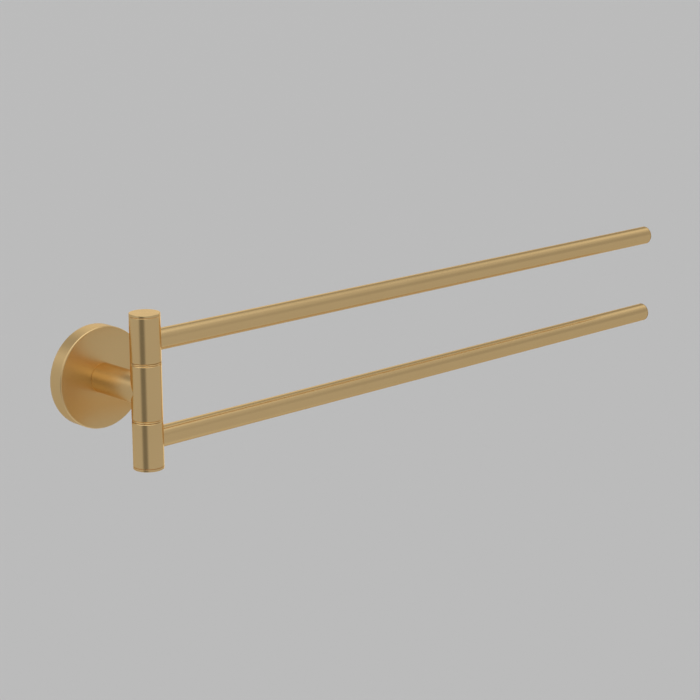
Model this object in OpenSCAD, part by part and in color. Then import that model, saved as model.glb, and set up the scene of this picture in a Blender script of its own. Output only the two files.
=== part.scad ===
// Swing-arm towel rack: a round rosette on the wall, a short stem, and an upright
// column whose top and bottom thirds each turn with one long tubular arm.
// Millimetres. Origin: centre of the rosette on the wall. +Z up, -Y out of the wall,
// +X along both arms when they are folded flat to the wall.

/* [Wall fixing] */
// Outside diameter of the rosette
rosette_d = 54; // [50:1:80]
// How far the rosette stands off the wall
rosette_t = 9; // [7.5:0.5:12]
// Wall thickness of the rosette's rim
rosette_rim = 4; // [3:0.5:5]
// Thickness of the rosette's front wall
rosette_front = 2.5; // [2:0.1:3]
// Bevel around the front edge of the rosette
rosette_bevel = 0.7; // [0.3:0.1:1.5]
// Thickness of the wall plate behind the rosette
plate_t = 4.5; // [4:0.1:4.8]
// Distance between the two wall screw holes, one above the other
screw_spacing = 30; // [28:1:33]
// Diameter of a wall screw hole
screw_hole_d = 4.4; // [3.6:0.1:5]
// Diameter of the countersink for a wall screw's head
countersink_d = 8.6; // [7:0.1:9]

/* [Column and stem] */
// Outside diameter of the column, five eighths of an inch
column_d = 15.88; // [15:0.1:20]
// Overall height of the column with its two end caps
column_h = 81; // [78:0.5:100]
// Distance from the wall to the column's axis
column_off = 45; // [38:0.5:70]
// Diameter of the stem, a hair under the column's
stem_d = 15.8; // [13:0.1:15.8]
// Height of the fixed middle length of the column
centre_hub_h = 28.8; // [26:0.2:29]
// Thickness of the exposed edge of an end cap
cap_t = 1.3; // [1:0.1:2]
// Width of the exposed seam between two lengths of the column
seam_t = 1; // [0.8:0.1:1.5]
// Bevel on the edges of the column's lengths
hub_bevel = 0.35; // [0.2:0.05:0.6]
// Diameter of the spindle inside the column
spindle_d = 8; // [7:0.5:8]

/* [Arms] */
// Outside diameter of an arm tube, seven sixteenths of an inch
arm_d = 11.12; // [9.5:0.1:12]
// Wall thickness of an arm tube
arm_wall = 1; // [0.8:0.1:1.5]
// Distance from the column's axis to the tip of an arm, sixteen inches
arm_reach = 406.4; // [200:1:600]
// Height between the axes of the two arms, two inches
arm_spacing = 50.8; // [49:0.2:52]
// Thickness of the exposed edge of an arm's end cap
end_cap_t = 1.2; // [1:0.1:3]
// Bevel around the tip of an arm
tip_bevel = 0.45; // [0.2:0.05:0.8]

/* [Hidden] */
$fn = 96;
tiny = 0.02; // gap between two pieces that are fixed together
run_gap = 0.1; // gap along the spindle between pieces that turn on each other
bush_gap = 0.05; // gap all round the spindle inside a bush
past = 1; // how far a cutter runs beyond the face it opens

column_r = column_d / 2;
arm_r = arm_d / 2;
arm_z = arm_spacing / 2;
spindle_r = spindle_d / 2;

// Wall plate and rosette
recess_r = rosette_d / 2 - rosette_rim;
recess_t = rosette_t - rosette_front;
plate_r = recess_r - 0.2;
plate_hole_r = 8;
countersink_t = (countersink_d - screw_hole_d) / 2;

// Grub screw in the bottom of the rosette
grub_r = 1.5;
grub_y = 2.6; // distance from the wall
grub_seat = 0.8; // depth of its seat in the edge of the plate
grub_sunk = 0.4; // how far its head is inside the rosette
grub_tip = 0.5;
grub_key_w = 1.5;
grub_key_t = 1.6;

// Screw and washer that hold the stem on the rosette
tenon_r = 5;
tenon_flats = 8;
tenon_gap = 0.1;
tenon_t = rosette_front - 0.1;
stem_washer_t = 1;
stem_washer_r = 7;
stem_screw_r = 2.5;
stem_head_r = 4.75;
stem_head_t = 2.75;
stem_head_bevel = 1.1;
stem_key_w = 3;
stem_key_t = 1.6;
stem_screw_deep = 10; // length of thread inside the stem
stem_drill_extra = 1.6;

// Stud between stem, centre hub and spindle
stud_r = 3;
stud_back = 14; // how far it runs back into the stem from the column's face
dog_r = 2;
dog_deep = 2.4; // how far its dog point passes the column's axis

// Lengths of the column, measured up from its middle
centre_top = centre_hub_h / 2;
hub_low = centre_top + seam_t;
hub_top = column_h / 2 - cap_t;
seam_step = 0.05; // how far the friction washer is set back in the seam
seam_bevel = 0.15; // bevel on the edges of the friction washer
inner_bush_h = 5;
outer_bush_h = 3;
bush_r = 6;
outer_bush_low = arm_z + stud_r + 1;
outer_bush_top = outer_bush_low + outer_bush_h;
hub_bore_r = spindle_r + 0.5;
counterbore_r = 6.3;
thread_r = 3; // threaded ends of the spindle
thread_bevel = 0.5;
shoulder_z = outer_bush_top - 0.5;
spring_low = outer_bush_top + run_gap;
spring_h = 0.8;
spring_t = 0.5;
spring_r = 5.9;
nut_low = spring_low + spring_h + run_gap;
nut_t = 3;
nut_flats = 10;
nut_bevel = 0.5;
spindle_top = nut_low + nut_t + 0.2;
cap_spigot_low = spindle_top + 0.3;

// Arm tube and the pieces in its two ends
tube_bore_r = arm_r - arm_wall;
tube_end_x = arm_reach - end_cap_t;
plug_r = tube_bore_r - tiny;
spigot_x = column_r + 0.06;
spigot_l = 16;
nose_r = stud_r;
nose_x = spindle_r + 0.9;
end_plug_l = 8;

gold = [0.80, 0.63, 0.40];
steel = [0.62, 0.63, 0.65];
bronze = [0.66, 0.45, 0.25];

// A round bar along Z from z0 to z1
module bar(r, z0, z1) {
    translate([0, 0, z0])
        cylinder(r = r, h = z1 - z0);
}

// The same with a 45 degree bevel on its lower and upper edge
module bevelled_bar(r, z0, z1, low, high) {
    rotate_extrude()
        polygon([[0, z0], [r - low, z0], [r, z0 + low], [r, z1 - high],
            [r - high, z1], [0, z1]]);
}

// Turns a piece drawn along Z so that it runs from the wall outwards
module out_of_wall() {
    rotate([90, 0, 0])
        children();
}

// Stands a piece on the column's axis
module on_column() {
    translate([0, -column_off, 0])
        children();
}

// Lays a piece drawn along Z along the axis of the upper arm
module along_arm() {
    translate([0, -column_off, arm_z])
        rotate([0, 90, 0])
            children();
}

// Turns the upper arm's pieces over to make the lower arm's
module below() {
    mirror([0, 0, 1])
        children();
}

// A hexagonal bar along Z, w across its flats
module hex_bar(w, z0, z1) {
    translate([0, 0, z0])
        cylinder(r = w / 2 / cos(30), h = z1 - z0, $fn = 6);
}

// Two-flatted bar that keys the stem in the rosette, with clearance gap all round
module tenon(gap, z0, z1) {
    intersection() {
        bar(tenon_r + gap, z0, z1);
        translate([-tenon_r - past, -tenon_flats / 2 - gap, z0])
            cube([2 * (tenon_r + past), tenon_flats + 2 * gap, z1 - z0]);
    }
}

module wall_plate() {
    color(steel)
        difference() {
            out_of_wall()
                difference() {
                    bevelled_bar(plate_r, 0, plate_t, 0, 0.4);
                    bar(plate_hole_r, -past, plate_t + past);
                    for (side = [-1, 1])
                        translate([0, side * screw_spacing / 2, 0]) {
                            bar(screw_hole_d / 2, -past, plate_t + past);
                            translate([0, 0, plate_t - countersink_t])
                                cylinder(r1 = screw_hole_d / 2,
                                    r2 = countersink_d / 2, h = countersink_t);
                        }
                }
            translate([0, -grub_y, 0])
                bar(grub_r + 0.1, -plate_r - past, -plate_r + grub_seat);
        }
}

module rosette() {
    color(gold)
        difference() {
            out_of_wall()
                difference() {
                    bevelled_bar(rosette_d / 2, 0, rosette_t, 0, rosette_bevel);
                    bar(recess_r, -past, recess_t);
                    tenon(tenon_gap, recess_t - past, rosette_t + past);
                }
            translate([0, -grub_y, 0])
                bar(grub_r + tiny, -rosette_d / 2 - past, -recess_r + past);
        }
}

module rosette_grub_screw() {
    color(steel)
        translate([0, -grub_y, 0])
            difference() {
                bevelled_bar(grub_r, grub_sunk - rosette_d / 2,
                    grub_seat - plate_r, 0.2, grub_tip);
                hex_bar(grub_key_w, -rosette_d / 2,
                    grub_sunk - rosette_d / 2 + grub_key_t);
            }
}

module stem() {
    color(gold)
        difference() {
            out_of_wall() {
                bar(stem_d / 2, rosette_t, column_off);
                tenon(0, rosette_t - tenon_t, rosette_t + past);
            }
            on_column()
                bar(column_r + tiny, -column_h, column_h);
            out_of_wall() {
                bar(stem_screw_r, 0,
                    rosette_t - tenon_t + stem_screw_deep + stem_drill_extra);
                bar(stud_r, column_off - column_r - stud_back, column_off);
            }
        }
}

module stem_washer() {
    color(steel)
        out_of_wall()
            difference() {
                bar(stem_washer_r, recess_t - stem_washer_t, recess_t);
                bar(stem_screw_r + 0.2, 0, rosette_t);
            }
}

module stem_screw() {
    head_z = recess_t - stem_washer_t;
    color(steel)
        out_of_wall()
            difference() {
                union() {
                    bevelled_bar(stem_head_r, head_z - stem_head_t, head_z,
                        stem_head_bevel, 0);
                    bar(stem_screw_r - tiny, head_z - past,
                        rosette_t - tenon_t + stem_screw_deep);
                }
                hex_bar(stem_key_w, 0, head_z - stem_head_t + stem_key_t);
            }
}

module stem_stud() {
    color(steel)
        out_of_wall() {
            bar(stud_r - tiny, column_off - column_r - stud_back + 0.3,
                column_off - spindle_r - 0.1);
            bar(dog_r, column_off - spindle_r - past, column_off + dog_deep);
        }
}

module centre_hub() {
    color(gold)
        difference() {
            on_column()
                difference() {
                    bevelled_bar(column_r, -centre_top, centre_top,
                        hub_bevel, hub_bevel);
                    bar(spindle_r + tiny, -column_h, column_h);
                }
            out_of_wall()
                bar(stud_r, rosette_t, column_off);
        }
}

module spindle() {
    color(steel)
        difference() {
            on_column() {
                bar(spindle_r, -shoulder_z, shoulder_z);
                bevelled_bar(thread_r, -spindle_top, spindle_top,
                    thread_bevel, thread_bevel);
            }
            out_of_wall()
                bar(dog_r + tiny, rosette_t, column_off + dog_deep + 0.1);
        }
}

// Ring that fills the seam above the centre hub
module friction_washer() {
    color(gold)
        on_column()
            difference() {
                bevelled_bar(column_r - seam_step, centre_top, hub_low - run_gap,
                    seam_bevel, seam_bevel);
                bar(spindle_r + tiny, 0, column_h);
            }
}

// Cone spring over the upper outer bush
module disc_spring() {
    drop = spring_h - spring_t;
    color(steel)
        on_column()
            rotate_extrude()
                polygon([[thread_r + 0.1, spring_low + drop],
                    [spring_r, spring_low],
                    [spring_r, spring_low + spring_t],
                    [thread_r + 0.1, spring_low + spring_h]]);
}

module lock_nut() {
    corner_r = nut_flats / 2 / cos(30);
    color(steel)
        on_column()
            difference() {
                intersection() {
                    hex_bar(nut_flats, nut_low, nut_low + nut_t);
                    bevelled_bar(corner_r + 0.05, nut_low, nut_low + nut_t,
                        nut_bevel, nut_bevel);
                }
                bar(thread_r + tiny, 0, column_h);
            }
}

module arm_hub() {
    color(gold)
        difference() {
            on_column()
                difference() {
                    bevelled_bar(column_r, hub_low, hub_top, hub_bevel, hub_bevel / 2);
                    bar(hub_bore_r, 0, column_h);
                    bar(bush_r, hub_low - past, hub_low + inner_bush_h);
                    bar(bush_r, outer_bush_low, outer_bush_top + past);
                    bar(counterbore_r, outer_bush_top, column_h);
                }
            along_arm()
                bar(nose_r, 0, column_d);
        }
}

// Plain bush pressed in an arm hub
module bush(z0, z1) {
    color(bronze)
        on_column()
            difference() {
                bar(bush_r - tiny, z0, z1);
                bar(spindle_r + bush_gap, 0, column_h);
            }
}

module arm_tube() {
    color(gold)
        difference() {
            along_arm()
                difference() {
                    bar(arm_r, 0, tube_end_x);
                    bar(tube_bore_r, -past, arm_reach);
                }
            on_column()
                bar(column_r + tiny, 0, column_h);
        }
}

// Plug in the arm tube with a threaded nose that screws into the arm hub
module spigot() {
    color(steel)
        along_arm() {
            bevelled_bar(plug_r, spigot_x, spigot_x + spigot_l, 0, 0.5);
            bar(nose_r - tiny, nose_x, spigot_x + past);
        }
}

module end_cap() {
    color(gold)
        along_arm() {
            bevelled_bar(arm_r, tube_end_x, arm_reach, 0, tip_bevel);
            bevelled_bar(plug_r, tube_end_x - end_plug_l, tube_end_x + past / 2, 0.5, 0);
        }
}

module column_cap() {
    color(gold)
        on_column() {
            bevelled_bar(column_r, hub_top, column_h / 2, hub_bevel / 2, hub_bevel);
            bar(counterbore_r - tiny, cap_spigot_low, hub_top + past / 2);
        }
}

module upper_friction_washer() friction_washer();
module lower_friction_washer() below() friction_washer();
module upper_disc_spring() disc_spring();
module lower_disc_spring() below() disc_spring();
module upper_lock_nut() lock_nut();
module lower_lock_nut() below() lock_nut();
module upper_hub() arm_hub();
module lower_hub() below() arm_hub();
module upper_inner_bush() bush(hub_low, hub_low + inner_bush_h);
module lower_inner_bush() below() bush(hub_low, hub_low + inner_bush_h);
module upper_outer_bush() bush(outer_bush_low, outer_bush_top);
module lower_outer_bush() below() bush(outer_bush_low, outer_bush_top);
module upper_arm_tube() arm_tube();
module lower_arm_tube() below() arm_tube();
module upper_spigot() spigot();
module lower_spigot() below() spigot();
module upper_end_cap() end_cap();
module lower_end_cap() below() end_cap();
module top_cap() column_cap();
module bottom_cap() below() column_cap();

wall_plate();
rosette();
rosette_grub_screw();
stem();
stem_screw();
stem_washer();
stem_stud();
centre_hub();
spindle();
upper_friction_washer();
lower_friction_washer();
upper_disc_spring();
lower_disc_spring();
upper_lock_nut();
lower_lock_nut();
upper_hub();
upper_inner_bush();
upper_outer_bush();
upper_arm_tube();
upper_spigot();
upper_end_cap();
top_cap();
lower_hub();
lower_inner_bush();
lower_outer_bush();
lower_arm_tube();
lower_spigot();
lower_end_cap();
bottom_cap();
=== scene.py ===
import math

import bmesh
import bpy
import numpy as np
from mathutils import Matrix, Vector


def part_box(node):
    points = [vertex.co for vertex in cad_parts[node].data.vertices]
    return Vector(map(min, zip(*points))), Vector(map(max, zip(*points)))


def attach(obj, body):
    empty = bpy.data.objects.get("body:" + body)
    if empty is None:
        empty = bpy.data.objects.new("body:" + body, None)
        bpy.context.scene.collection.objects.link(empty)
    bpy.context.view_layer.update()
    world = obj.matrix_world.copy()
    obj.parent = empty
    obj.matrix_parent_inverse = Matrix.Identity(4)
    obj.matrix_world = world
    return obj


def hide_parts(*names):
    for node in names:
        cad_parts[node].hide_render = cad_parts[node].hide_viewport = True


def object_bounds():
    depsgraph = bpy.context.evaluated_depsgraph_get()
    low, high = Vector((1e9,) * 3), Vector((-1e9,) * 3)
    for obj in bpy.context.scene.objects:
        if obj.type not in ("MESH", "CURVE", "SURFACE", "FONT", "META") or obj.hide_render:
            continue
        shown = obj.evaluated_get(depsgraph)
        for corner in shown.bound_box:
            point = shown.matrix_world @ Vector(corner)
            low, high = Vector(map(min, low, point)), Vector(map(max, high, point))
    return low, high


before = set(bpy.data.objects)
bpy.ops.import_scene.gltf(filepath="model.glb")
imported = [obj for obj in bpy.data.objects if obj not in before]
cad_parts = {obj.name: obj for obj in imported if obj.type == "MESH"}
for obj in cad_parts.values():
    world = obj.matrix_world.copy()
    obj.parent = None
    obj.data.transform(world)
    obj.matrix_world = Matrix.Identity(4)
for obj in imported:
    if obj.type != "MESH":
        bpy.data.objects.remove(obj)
cad_low, cad_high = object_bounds()
MM = 0.001


# ---------------------------------------------------------------------------
# Camera. It stands to the left of the rack and a little above it, with a long lens,
# and looks down along both arms. It is set out from the column's axis, in metres: how
# far it stands back, how far to the side, and its height above the rosette's centre.
hub_low, hub_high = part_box("centre_hub")
column_x = (hub_low.x + hub_high.x) / 2
column_y = (hub_low.y + hub_high.y) / 2
column_r = (hub_high.x - hub_low.x) / 2

turn = math.radians(44.0)
dip = math.radians(14.31)
roll = math.radians(-0.08)
camera_back = 0.9105
camera_aside = 0.1022
camera_height = 0.2534
ahead = np.array([math.sin(turn), math.cos(turn), 0.0])
beside = np.array([math.cos(turn), -math.sin(turn), 0.0])
look = np.array([ahead[0] * math.cos(dip), ahead[1] * math.cos(dip), -math.sin(dip)])
upright = np.cross(beside, look)
right = beside * math.cos(roll) + upright * math.sin(roll)
up = upright * math.cos(roll) - beside * math.sin(roll)
place = np.array([column_x, column_y, 0.0]) - ahead * camera_back + beside * camera_aside
place[2] = camera_height

camera_data = bpy.data.cameras.new("camera")
camera_data.sensor_width = 36.0
camera_data.lens = 96.69
camera_data.clip_start = 0.01
camera_data.clip_end = 100.0
camera = bpy.data.objects.new("camera", camera_data)
bpy.context.scene.collection.objects.link(camera)
pose = np.eye(4)
pose[:3, 0] = right
pose[:3, 1] = up
pose[:3, 2] = -look
pose[:3, 3] = place
camera.matrix_world = Matrix(pose.tolist())
bpy.context.scene.camera = camera
bpy.context.scene.view_settings.view_transform = "Standard"


# ---------------------------------------------------------------------------
# Studio. A plain pale floor half a metre under the rack, in a soft grey room. Broad
# panels of light and shade with soft edges stand round it for the metal to mirror.
# The floor is left out of reflections, so the metal mirrors the panels alone.
floor_half = 40.0
floor_drop = 0.55
floor_z = cad_low.z - floor_drop
corners = [(-floor_half, -floor_half, floor_z), (floor_half, -floor_half, floor_z),
    (floor_half, floor_half, floor_z), (-floor_half, floor_half, floor_z)]
floor_mesh = bpy.data.meshes.new("floor")
floor_mesh.from_pydata(corners, [], [(0, 1, 2, 3)])
floor = bpy.data.objects.new("floor", floor_mesh)
bpy.context.scene.collection.objects.link(floor)
floor.visible_glossy = False
floor_paint = bpy.data.materials.new("floor_paint")
floor_paint.use_nodes = True
shader = floor_paint.node_tree.nodes["Principled BSDF"]
shader.inputs["Base Color"].default_value = (0.662, 0.662, 0.662, 1.0)
shader.inputs["Roughness"].default_value = 0.9
shader.inputs["Specular IOR Level"].default_value = 0.1
floor_mesh.materials.append(floor_paint)

world = bpy.data.worlds.new("studio")
world.use_nodes = True
bpy.context.scene.world = world
tree = world.node_tree
tree.nodes.clear()
direction = tree.nodes.new("ShaderNodeTexCoord").outputs["Generated"]

# Each panel: the bearing it stands on in degrees (0 is straight out of the wall, 90 is
# along the folded arms), its height in degrees, the angle out to which it is at full
# strength, the angle where it has faded out, and how much it adds to the room's light.
panels = [
    (-60.0, -13.0, 8.0, 26.0, -0.37),
    (-45.0, 24.0, 8.0, 24.0, 0.45),
    (-120.0, 42.0, 12.0, 35.0, 0.50),
    (-165.0, 42.0, 6.0, 22.0, -0.30),
    (0.0, 90.0, 20.0, 45.0, 0.80),
    (53.0, 18.0, 5.0, 18.0, -0.12),
    (92.0, 28.0, 5.0, 18.0, 0.48),
    (118.0, -9.0, 7.0, 17.0, 0.60),
    (125.0, 30.0, 5.0, 18.0, -0.20),
    (147.0, 17.0, 9.0, 24.0, 0.36),
    (0.0, -90.0, 15.0, 45.0, 0.26),
]
# The room's own brightness, which the panels add to or take from.
room = 0.60
light = None
for bearing, height, full, gone, extra in panels:
    flat = math.cos(math.radians(height))
    dot = tree.nodes.new("ShaderNodeVectorMath")
    dot.operation = "DOT_PRODUCT"
    tree.links.new(direction, dot.inputs[0])
    dot.inputs[1].default_value = (
        math.sin(math.radians(bearing)) * flat,
        -math.cos(math.radians(bearing)) * flat,
        math.sin(math.radians(height)))
    ramp = tree.nodes.new("ShaderNodeMapRange")
    ramp.interpolation_type = "SMOOTHSTEP"
    ramp.inputs["From Min"].default_value = math.cos(math.radians(gone))
    ramp.inputs["From Max"].default_value = math.cos(math.radians(full))
    ramp.inputs["To Max"].default_value = extra
    tree.links.new(dot.outputs["Value"], ramp.inputs["Value"])
    total = tree.nodes.new("ShaderNodeMath")
    total.operation = "ADD"
    total.inputs[0].default_value = room
    if light is not None:
        tree.links.new(light, total.inputs[0])
    tree.links.new(ramp.outputs["Result"], total.inputs[1])
    light = total.outputs["Value"]

# The metal is lit by the dome of panels; past the floor's edge an even backdrop is seen.
dome = tree.nodes.new("ShaderNodeBackground")
tree.links.new(light, dome.inputs["Strength"])
backdrop = tree.nodes.new("ShaderNodeBackground")
backdrop.inputs["Color"].default_value = (0.49, 0.49, 0.49, 1.0)
seen = tree.nodes.new("ShaderNodeLightPath")
choose = tree.nodes.new("ShaderNodeMixShader")
tree.links.new(seen.outputs["Is Camera Ray"], choose.inputs["Fac"])
tree.links.new(dome.outputs["Background"], choose.inputs[1])
tree.links.new(backdrop.outputs["Background"], choose.inputs[2])
world_out = tree.nodes.new("ShaderNodeOutputWorld")
tree.links.new(choose.outputs["Shader"], world_out.inputs["Surface"])


# ---------------------------------------------------------------------------
# Rosette: a brass cup turned from bar, 54 mm across and 9 mm deep, its front edge broken
# with a fine radius. It is brushed to a satin finish and then gold coated.
def rounded(corners, radii, steps=6, hold=0.12):
    """Closed outline with its corners rounded.

    At a corner P with unit directions u and v to its neighbours and half angle h between
    them, the arc of radius r starts r / tan(h) along u, ends as far along v, and its centre
    is r / sin(h) out along the bisector. With w = pi - 2 h and k from 0 to 1, its points
    are centre + (sin((1 - k) w) a + sin(k w) b) / sin(w), where a and b run from the centre
    to the arc's two ends. One more point stands hold beyond each end, or at 45% of a short
    side, so that shading stays flat on the long faces.
    """
    p = np.asarray(corners, float)
    r = np.asarray(radii, float)[:, None]
    u = np.roll(p, 1, axis=0) - p
    v = np.roll(p, -1, axis=0) - p
    u_len = np.linalg.norm(u, axis=1, keepdims=True)
    v_len = np.linalg.norm(v, axis=1, keepdims=True)
    u = u / u_len
    v = v / v_len
    half = np.arccos(np.clip((u * v).sum(1, keepdims=True), -1, 1)) / 2
    run = r / np.tan(half)
    middle = p + (u + v) / np.linalg.norm(u + v, axis=1, keepdims=True) * r / np.sin(half)
    sweep = math.pi - 2 * half
    k = np.linspace(0, 1, steps + 1)[None, :, None]
    a = (p + u * run - middle)[:, None, :]
    b = (p + v * run - middle)[:, None, :]
    w = sweep[:, None, :]
    arc = middle[:, None, :] + (np.sin((1 - k) * w) * a + np.sin(k * w) * b) / np.sin(w)
    before = p + u * np.minimum(run + hold, u_len * 0.45)
    after = p + v * np.minimum(run + hold, v_len * 0.45)
    return np.concatenate([before[:, None], arc, after[:, None]], axis=1).reshape(-1, 2)


# What the map "grain" moves on for each millimetre along an outline.
GRAIN_STEP = 0.02


def turned(name, outline, out, start, count=192, reshape=None):
    """Surface of revolution of a closed outline of (distance along, radius) in mm.

    A point is start + along * out + radius * (cos t * side + sin t * top), with t all the
    way round and side, top at right angles to out. reshape may move the grid of points.
    The map "grain" holds the length along the outline, scaled, and the share of the turn.
    """
    out = np.asarray(out, float)
    top = np.array([0.0, 0.0, 1.0]) if abs(out[2]) < 0.5 else np.array([0.0, -1.0, 0.0])
    side = np.cross(out, top)
    along = outline[:, 0][:, None, None] * MM
    radius = outline[:, 1][:, None, None] * MM
    t = np.linspace(0, 2 * math.pi, count, endpoint=False)[None, :, None]
    points = np.asarray(start, float) + along * out
    points = points + radius * (np.cos(t) * side + np.sin(t) * top)
    if reshape is not None:
        points = reshape(points)
    rows = len(outline)
    i = np.arange(rows)[:, None]
    j = np.arange(count)[None, :]
    i_next = (i + 1) % rows
    j_next = (j + 1) % count
    quads = np.stack([i * count + j, i_next * count + j, i_next * count + j_next,
        i * count + j_next], axis=-1).reshape(-1, 4)
    step = np.linalg.norm(np.roll(outline, -1, axis=0) - outline, axis=1)
    path = np.concatenate([[0.0], np.cumsum(step)]) * GRAIN_STEP
    around = np.linspace(0, 1, count + 1)
    u = np.stack([path[i + 0 * j], path[i + 1 + 0 * j], path[i + 1 + 0 * j],
        path[i + 0 * j]], axis=-1).reshape(-1)
    v = np.stack([around[j + 0 * i], around[j + 0 * i], around[j + 1 + 0 * i],
        around[j + 1 + 0 * i]], axis=-1).reshape(-1)
    mesh = bpy.data.meshes.new(name)
    mesh.from_pydata(points.reshape(-1, 3), [], quads.tolist())
    grain = mesh.uv_layers.new(name="grain")
    grain.data.foreach_set("uv", np.stack([u, v], axis=-1).reshape(-1))
    close_up(mesh)
    made = bpy.data.objects.new(name, mesh)
    bpy.context.scene.collection.objects.link(made)
    return made


def close_up(mesh):
    """Merges the doubled points on the axis and turns every face outwards."""
    work = bmesh.new()
    work.from_mesh(mesh)
    bmesh.ops.remove_doubles(work, verts=work.verts, dist=1e-7)
    bmesh.ops.dissolve_degenerate(work, edges=work.edges, dist=1e-8)
    loose = [edge for edge in work.edges if not edge.link_faces]
    bmesh.ops.delete(work, geom=loose, context="EDGES")
    bmesh.ops.recalc_face_normals(work, faces=work.faces)
    for face in work.faces:
        face.smooth = True
    work.to_mesh(mesh)
    work.free()


def node_of(tree, kind, **values):
    """New shader node with the given settings and unlinked socket values."""
    made = tree.nodes.new(kind)
    for key, value in values.items():
        if key in made.inputs:
            made.inputs[key].default_value = value
        else:
            setattr(made, key, value)
    return made


# The colour sockets of a Mix node. They share their names with its other sockets.
COLOUR_A = 6
COLOUR_B = 7
COLOUR_OUT = 2


def satin_gold(name, grain_scale, smear, dullness):
    """Gold-coated brass with the fine scratches of a satin belt.

    The scratches are noise on the piece's own coordinates, squeezed by grain_scale so that
    they run one way. They move the roughness a little to either side of dullness, and
    drive a very shallow bump and a slight change of tone. A broad noise adds the uneven
    tint of the coating, and smear is how far reflections are drawn out across the grain.
    """
    paint = bpy.data.materials.new(name)
    paint.use_nodes = True
    tree = paint.node_tree
    link = tree.links.new
    shader = tree.nodes["Principled BSDF"]
    shader.inputs["Metallic"].default_value = 1.0
    shader.inputs["Anisotropic"].default_value = smear
    shader.inputs["Specular Tint"].default_value = (1.0, 0.86, 0.64, 1.0)
    own = node_of(tree, "ShaderNodeTexCoord").outputs["Object"]
    squeeze = node_of(tree, "ShaderNodeMapping", Scale=grain_scale)
    link(own, squeeze.inputs["Vector"])
    scratch = node_of(tree, "ShaderNodeTexNoise", Scale=1.0, Detail=3.0, Roughness=0.65)
    link(squeeze.outputs["Vector"], scratch.inputs["Vector"])
    cloud = node_of(tree, "ShaderNodeTexNoise", Scale=38.0, Detail=2.0, Roughness=0.5)
    link(own, cloud.inputs["Vector"])
    uneven = 0.025
    dull = node_of(tree, "ShaderNodeMapRange")
    dull.inputs["From Min"].default_value = 0.3
    dull.inputs["From Max"].default_value = 0.7
    dull.inputs["To Min"].default_value = dullness - uneven
    dull.inputs["To Max"].default_value = dullness + uneven
    link(scratch.outputs["Fac"], dull.inputs["Value"])
    link(dull.outputs["Result"], shader.inputs["Roughness"])
    tone = node_of(tree, "ShaderNodeMix", data_type="RGBA")
    link(cloud.outputs["Fac"], tone.inputs["Factor"])
    tone.inputs[COLOUR_A].default_value = (0.840, 0.592, 0.285, 1.0)
    tone.inputs[COLOUR_B].default_value = (0.875, 0.627, 0.310, 1.0)
    streak = node_of(tree, "ShaderNodeMix", data_type="RGBA", blend_type="MULTIPLY")
    streak.inputs["Factor"].default_value = 0.05
    link(tone.outputs[COLOUR_OUT], streak.inputs[COLOUR_A])
    link(scratch.outputs["Color"], streak.inputs[COLOUR_B])
    link(streak.outputs[COLOUR_OUT], shader.inputs["Base Color"])
    bump = node_of(tree, "ShaderNodeBump", Strength=0.12, Distance=0.00001)
    link(scratch.outputs["Fac"], bump.inputs["Height"])
    link(bump.outputs["Normal"], shader.inputs["Normal"])
    across = node_of(tree, "ShaderNodeTangent", direction_type="UV_MAP", uv_map="grain")
    link(across.outputs["Tangent"], shader.inputs["Tangent"])
    return paint


def turn_round(vert, middle_y):
    """Angle of a point round the hole's axis. The point at half a turn counts as -pi."""
    off = vert.co.y - middle_y
    if vert.co.x > 0 or abs(off) > 1e-6:
        return math.atan2(off, vert.co.x)
    return -math.pi


def drilled(mesh, walls, middle_y, hole_r, wide, long):
    """Drills a round hole up through the bottom of a ring whose axis is Y.

    The faces within the angle wide to either side of the bottom, and within long of
    middle_y, are taken out of both walls. A point of the opening at angle a round the
    hole is joined to (hole_r cos a, middle_y + hole_r sin a) on the same wall, where z
    is -sqrt(wall^2 - x^2), and the two circles are joined to each other.
    """
    work = bmesh.new()
    work.from_mesh(mesh)
    grain = work.loops.layers.uv["grain"]
    taken = []
    for face in work.faces:
        spot = face.calc_center_median()
        if abs(math.atan2(spot.x, -spot.z)) < wide and abs(spot.y - middle_y) < long:
            taken.append(face)
    bmesh.ops.delete(work, geom=taken, context="FACES")
    circles = []
    joins = []
    for wall in walls:
        opening = [vert for vert in work.verts
            if vert.is_boundary and abs(math.hypot(vert.co.x, vert.co.z) - wall) < 1e-5]
        opening.sort(key=lambda vert: turn_round(vert, middle_y))
        circle = []
        for vert in opening:
            a = math.atan2(vert.co.y - middle_y, vert.co.x)
            x = hole_r * math.cos(a)
            y = middle_y + hole_r * math.sin(a)
            circle.append(work.verts.new((x, y, -math.sqrt(wall ** 2 - x ** 2))))
        joins.append((opening, circle))
        circles.append(circle)
    joins.append(circles)
    for ring, partner in joins:
        for k in range(len(ring)):
            corner = (k + 1) % len(ring)
            face = work.faces.new((ring[k], ring[corner], partner[corner], partner[k]))
            for loop in face.loops:
                at = loop.vert.co
                share = math.atan2(at.x, -at.z) / (2 * math.pi)
                loop[grain].uv = (-at.y / MM * GRAIN_STEP, share)
    bmesh.ops.recalc_face_normals(work, faces=work.faces)
    for face in work.faces:
        face.smooth = True
    for circle in circles:
        for k in range(len(circle)):
            work.edges.get((circle[k - 1], circle[k])).smooth = False
    work.to_mesh(mesh)
    work.free()


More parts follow.
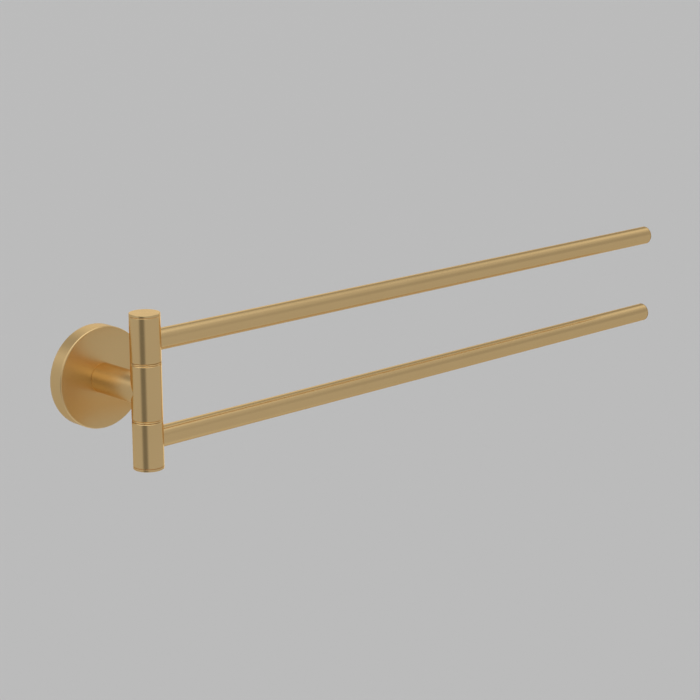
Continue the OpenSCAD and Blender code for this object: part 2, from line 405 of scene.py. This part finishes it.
rosette_low, rosette_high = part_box("rosette")
rosette_r = (rosette_high.x - rosette_low.x) / 2 / MM
rosette_t = (rosette_high.y - rosette_low.y) / MM
grub_low, grub_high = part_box("rosette_grub_screw")
grub_y = -(grub_low.y + grub_high.y) / 2 / MM
grub_r = (grub_high.x - grub_low.x) / 2 / MM
rim_wall = 4.0
front_wall = 2.5
tenon_hole_r = 5.1
recess_r = rosette_r - rim_wall
face_back = rosette_t - front_wall
rosette_outline = rounded(
    [(0.0, rosette_r), (rosette_t, rosette_r), (rosette_t, tenon_hole_r),
     (face_back, tenon_hole_r), (face_back, recess_r), (0.0, recess_r)],
    [0.25, 0.75, 0.15, 0.15, 0.3, 0.3])
# Closer rows of points on both walls of the rim, where the grub screw's hole comes.
opening_half = 2.1
opening_angle = math.radians(4.9)
row_count = 11
rows = grub_y + np.linspace(-opening_half, opening_half, row_count)
points_a_corner = len(rosette_outline) // 6
outer_rows = np.stack([rows, np.full(row_count, rosette_r)], axis=-1)
inner_rows = np.stack([rows[::-1], np.full(row_count, recess_r)], axis=-1)
rosette_outline = np.concatenate([
    rosette_outline[:points_a_corner], outer_rows,
    rosette_outline[points_a_corner:5 * points_a_corner], inner_rows,
    rosette_outline[5 * points_a_corner:]])
rosette = turned("cover_rosette", rosette_outline, (0, -1, 0), (0, 0, 0), count=360)
thread_gap = 0.02
drilled(rosette.data, (rosette_r * MM, recess_r * MM), -grub_y * MM,
    (grub_r + thread_gap) * MM, opening_angle, opening_half * MM)
rosette.data.materials.append(
    satin_gold("gold_rosette", (120.0, 3200.0, 3200.0), 0.25, 0.32))
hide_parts("rosette")
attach(rosette, "bracket")


# ---------------------------------------------------------------------------
# Stem: solid brass bar between the rosette and the column. Its front end is milled hollow
# to sit round the column's middle length, and it is brushed round and gold coated.
stem_low, stem_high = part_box("stem")
stem_r = (stem_high.x - stem_low.x) / 2 / MM
stem_end = -column_y / MM
stem_short = 7.0
snug = 0.02


def saddle(points, post, post_r, across, way, end):
    """Hollows the end of a bar so that it sits round a post.

    d is a point's distance from the post's axis measured across, and s its distance
    measured along way. Points within half a millimetre of the plain end at s = end are
    moved along way by sqrt(post_r^2 - d^2) - end.
    """
    d = (points - post) @ across
    s = (points - post) @ way
    move = np.sqrt(np.maximum(post_r ** 2 - d ** 2, 0.0)) - end
    return points + way * np.where(s < end + 0.0005, move, 0.0)[..., None]


def round_column(points):
    """The front end of the stem sits round the middle length of the column."""
    post = np.array([column_x, column_y, 0.0])
    across = np.array([1.0, 0.0, 0.0])
    way = np.array([0.0, 1.0, 0.0])
    return saddle(points, post, column_r + snug * MM, across, way, stem_short * MM)


stem_outline = rounded(
    [(rosette_t, stem_r), (stem_end - stem_short, stem_r), (stem_end - stem_short, 0.0),
     (rosette_t, 0.0)],
    [0.3, 0.0, 0.0, 0.0])
stem = turned("stem_bar", stem_outline, (0, -1, 0), (0, 0, 0), count=160,
    reshape=round_column)
stem.data.materials.append(
    satin_gold("gold_stem", (120.0, 3200.0, 120.0), 0.35, 0.25))
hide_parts("stem")
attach(stem, "bracket")


# ---------------------------------------------------------------------------
# Column: three lengths of brass turned from one bar and brushed round, so that the seams
# between them show as fine lines. The middle one is fixed; the others turn on the spindle.
gold_column = satin_gold("gold_column", (120.0, 120.0, 3200.0), 0.35, 0.21)
column_at = (column_x, column_y, 0.0)
bar_r = column_r / MM
bevel = 0.34
spindle_bore_r = 4.02
middle_outline = rounded(
    [(hub_low.z / MM, bar_r - bevel), (hub_low.z / MM + bevel, bar_r),
     (hub_high.z / MM - bevel, bar_r), (hub_high.z / MM, bar_r - bevel),
     (hub_high.z / MM, spindle_bore_r), (hub_low.z / MM, spindle_bore_r)],
    [0.05, 0.05, 0.05, 0.05, 0.1, 0.1])
middle = turned("column_middle", middle_outline, (0, 0, 1), column_at)
middle.data.materials.append(gold_column)
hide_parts("centre_hub")
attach(middle, "bracket")

# Each turning length has a seat for a bush at the seam, a clear bore past the spindle,
# and a counterbore for the springs and nuts at its outer end.
seat_r = 6.0
seat_t = 5.0
clear_r = 4.5
counterbore_r = 6.3
counterbore_t = 6.8
for name, node, body, side in (
        ("column_upper", "upper_hub", "upper_arm", 1),
        ("column_lower", "lower_hub", "lower_arm", -1)):
    low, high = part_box(node)
    inner = min(abs(low.z), abs(high.z)) / MM
    outer = max(abs(low.z), abs(high.z)) / MM
    outline = rounded(
        [(inner, bar_r - bevel), (inner + bevel, bar_r), (outer - bevel, bar_r),
         (outer, bar_r - bevel), (outer, counterbore_r),
         (outer - counterbore_t, counterbore_r), (outer - counterbore_t, clear_r),
         (inner + seat_t, clear_r), (inner + seat_t, seat_r), (inner, seat_r)],
        [0.05, 0.05, 0.05, 0.05, 0.1, 0.1, 0.1, 0.1, 0.1, 0.1])
    hub = turned(name, outline, (0, 0, side), column_at)
    hub.data.materials.append(gold_column)
    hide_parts(node)
    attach(hub, body)


# ---------------------------------------------------------------------------
# Friction washers: thin brass rings between the lengths of the column, a hair inside it.
# Their broken edges and those of the column make the pairs of hairlines at the seams.
ring_bevel = 0.28
for name, node in (
        ("seam_ring_upper", "upper_friction_washer"),
        ("seam_ring_lower", "lower_friction_washer")):
    low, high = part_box(node)
    ring_r = (high.x - low.x) / 2 / MM
    outline = rounded(
        [(low.z / MM, ring_r - ring_bevel), (low.z / MM + ring_bevel, ring_r),
         (high.z / MM - ring_bevel, ring_r), (high.z / MM, ring_r - ring_bevel),
         (high.z / MM, spindle_bore_r), (low.z / MM, spindle_bore_r)],
        [0.04, 0.04, 0.04, 0.04, 0.05, 0.05])
    ring = turned(name, outline, (0, 0, 1), column_at)
    ring.data.materials.append(gold_column)
    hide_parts(node)
    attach(ring, "bracket")


# ---------------------------------------------------------------------------
# Column caps: turned brass discs pressed into the ends of the column, with a rounded rim
# and a flat, finely faced top.
gold_cap = satin_gold("gold_cap", (120.0, 3200.0, 3200.0), 0.30, 0.24)
cap_plug_r = 6.28
for name, node, hub_node, body, side in (
        ("column_top_cap", "top_cap", "upper_hub", "upper_arm", 1),
        ("column_bottom_cap", "bottom_cap", "lower_hub", "lower_arm", -1)):
    low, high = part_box(node)
    outer = max(abs(low.z), abs(high.z)) / MM
    inner = min(abs(low.z), abs(high.z)) / MM
    length_low, length_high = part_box(hub_node)
    joint = max(abs(length_low.z), abs(length_high.z)) / MM
    outline = rounded(
        [(joint, bar_r), (outer, bar_r), (outer, 0.0), (inner, 0.0),
         (inner, cap_plug_r), (joint, cap_plug_r)],
        [0.15, 0.25, 0.0, 0.0, 0.3, 0.1])
    cap = turned(name, outline, (0, 0, side), column_at)
    cap.data.materials.append(gold_cap)
    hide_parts(node)
    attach(cap, body)


# ---------------------------------------------------------------------------
# Arms: drawn brass tube, 11 mm across, cut hollow at one end to sit round the column and
# brushed round on a belt. A turned plug with a rounded rim closes the tip.
gold_arm = satin_gold("gold_arm", (3200.0, 120.0, 120.0), 0.35, 0.21)
arm_start = 6.0
tube_wall = 1.0
plug_gap = 0.02
for level in ("upper", "lower"):
    tube_low, tube_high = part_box(level + "_arm_tube")
    tip_low, tip_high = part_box(level + "_end_cap")
    arm_r = (tube_high.z - tube_low.z) / 2 / MM
    arm_z = (tube_high.z + tube_low.z) / 2
    arm_at = (column_x, column_y, arm_z)

    def round_hub(points):
        """The inner end of the tube sits round the turning length of the column."""
        across = np.array([0.0, 1.0, 0.0])
        way = np.array([1.0, 0.0, 0.0])
        post_r = column_r + snug * MM
        return saddle(points, np.array(arm_at), post_r, across, way, arm_start * MM)

    joint = tube_high.x / MM
    bore = arm_r - tube_wall
    outline = rounded(
        [(arm_start, arm_r), (joint, arm_r), (joint, bore), (arm_start, bore)],
        [0.0, 0.06, 0.0, 0.0])
    tube = turned("arm_tube_" + level, outline, (1, 0, 0), arm_at, count=144,
        reshape=round_hub)
    tube.data.materials.append(gold_arm)
    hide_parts(level + "_arm_tube")
    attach(tube, level + "_arm")

    tip = tip_high.x / MM
    outline = rounded(
        [(joint, arm_r), (tip, arm_r), (tip, 0.0), (tip_low.x / MM, 0.0),
         (tip_low.x / MM, bore - plug_gap), (joint, bore - plug_gap)],
        [0.06, 0.85, 0.0, 0.0, 0.4, 0.1])
    plug = turned("arm_tip_" + level, outline, (1, 0, 0), arm_at, count=144)
    plug.data.materials.append(gold_arm)
    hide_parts(level + "_end_cap")
    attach(plug, level + "_arm")


# ---------------------------------------------------------------------------
# Steel fixings: the wall plate, screws, stud, spindle, springs, nuts and spigots are mild
# steel, zinc plated and passivated, which leaves a dull, faintly yellow and blue bloom.
def paint_nodes(paint, nodes):
    """Gives CAD nodes a finish through their own material slots."""
    for node in nodes:
        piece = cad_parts[node]
        if not piece.material_slots:
            piece.data.materials.append(None)
        for material_slot in piece.material_slots:
            material_slot.material = paint


zinc = bpy.data.materials.new("zinc_plate")
zinc.use_nodes = True
link = zinc.node_tree.links.new
shader = zinc.node_tree.nodes["Principled BSDF"]
shader.inputs["Metallic"].default_value = 1.0
own = node_of(zinc.node_tree, "ShaderNodeTexCoord").outputs["Object"]
bloom = node_of(zinc.node_tree, "ShaderNodeTexNoise", Scale=120.0, Detail=4.0)
link(own, bloom.inputs["Vector"])
tint = node_of(zinc.node_tree, "ShaderNodeMix", data_type="RGBA")
tint.inputs[COLOUR_A].default_value = (0.50, 0.53, 0.58, 1.0)
tint.inputs[COLOUR_B].default_value = (0.62, 0.60, 0.53, 1.0)
link(bloom.outputs["Fac"], tint.inputs["Factor"])
link(tint.outputs[COLOUR_OUT], shader.inputs["Base Color"])
grit = node_of(zinc.node_tree, "ShaderNodeTexNoise", Scale=1800.0, Detail=2.0)
link(own, grit.inputs["Vector"])
dull = node_of(zinc.node_tree, "ShaderNodeMapRange")
dull.inputs["From Min"].default_value = 0.3
dull.inputs["From Max"].default_value = 0.7
dull.inputs["To Min"].default_value = 0.34
dull.inputs["To Max"].default_value = 0.50
link(bloom.outputs["Fac"], dull.inputs["Value"])
link(dull.outputs["Result"], shader.inputs["Roughness"])
bump = node_of(zinc.node_tree, "ShaderNodeBump", Strength=0.4, Distance=0.00002)
link(grit.outputs["Fac"], bump.inputs["Height"])
link(bump.outputs["Normal"], shader.inputs["Normal"])
paint_nodes(zinc, ["wall_plate", "rosette_grub_screw", "stem_screw", "stem_washer",
    "stem_stud", "spindle", "upper_disc_spring", "lower_disc_spring", "upper_lock_nut",
    "lower_lock_nut", "upper_spigot", "lower_spigot"])


# ---------------------------------------------------------------------------
# Bushes: sintered bronze, pressed to size, with open pores that hold oil.
bronze = bpy.data.materials.new("sintered_bronze")
bronze.use_nodes = True
link = bronze.node_tree.links.new
shader = bronze.node_tree.nodes["Principled BSDF"]
shader.inputs["Metallic"].default_value = 1.0
own = node_of(bronze.node_tree, "ShaderNodeTexCoord").outputs["Object"]
pores = node_of(bronze.node_tree, "ShaderNodeTexVoronoi", Scale=2600.0)
link(own, pores.inputs["Vector"])
tint = node_of(bronze.node_tree, "ShaderNodeMix", data_type="RGBA")
tint.inputs[COLOUR_A].default_value = (0.20, 0.10, 0.05, 1.0)
tint.inputs[COLOUR_B].default_value = (0.55, 0.33, 0.16, 1.0)
link(pores.outputs["Distance"], tint.inputs["Factor"])
link(tint.outputs[COLOUR_OUT], shader.inputs["Base Color"])
shader.inputs["Roughness"].default_value = 0.5
bump = node_of(bronze.node_tree, "ShaderNodeBump", Strength=0.5, Distance=0.00003)
link(pores.outputs["Distance"], bump.inputs["Height"])
link(bump.outputs["Normal"], shader.inputs["Normal"])
paint_nodes(bronze, ["upper_inner_bush", "lower_inner_bush", "upper_outer_bush",
    "lower_outer_bush"])
